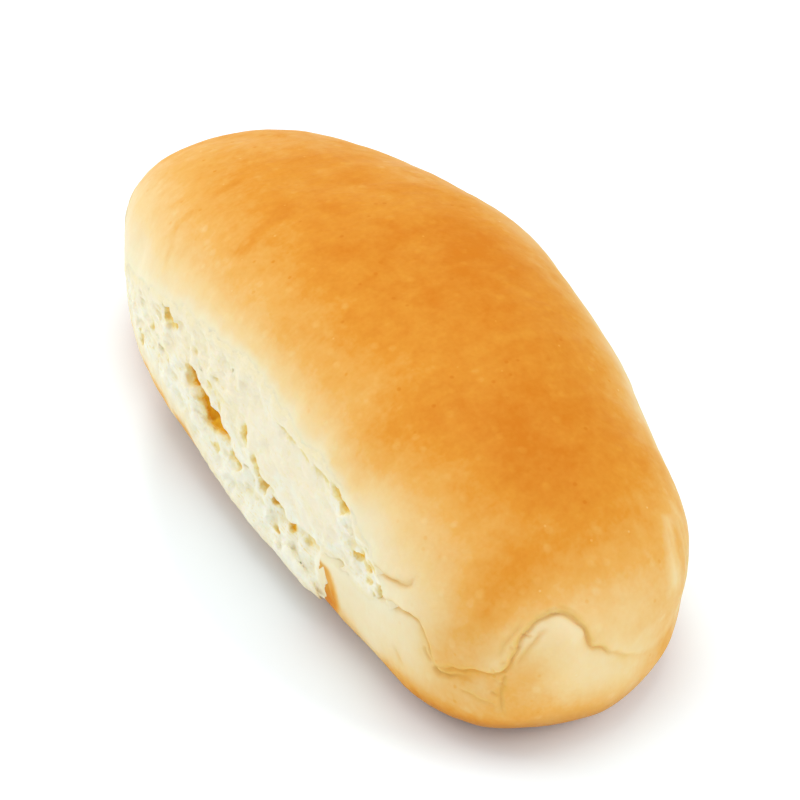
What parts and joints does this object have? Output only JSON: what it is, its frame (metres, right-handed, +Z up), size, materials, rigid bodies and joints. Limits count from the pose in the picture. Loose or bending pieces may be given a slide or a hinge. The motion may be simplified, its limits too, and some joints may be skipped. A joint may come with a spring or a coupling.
{
  "type": "hot dog bun",
  "caption": "Soft long bread bun for a sausage, with a golden brown domed top, rolled folds at its ends and pale torn sides.",
  "frame": {"origin": "centre of the bounding box in plan, at the height of the flat base", "axes": "+X along the bun towards its blunter end, +Y away from the wide torn side, +Z up"},
  "size_m": [0.1512, 0.0628, 0.0465],
  "materials": {
    "bun_crust": "soft golden brown crust, smooth and slightly satin"
  },
  "bodies": {
    "root": {"bun": "bun_crust"}
  },
  "joints": []
}
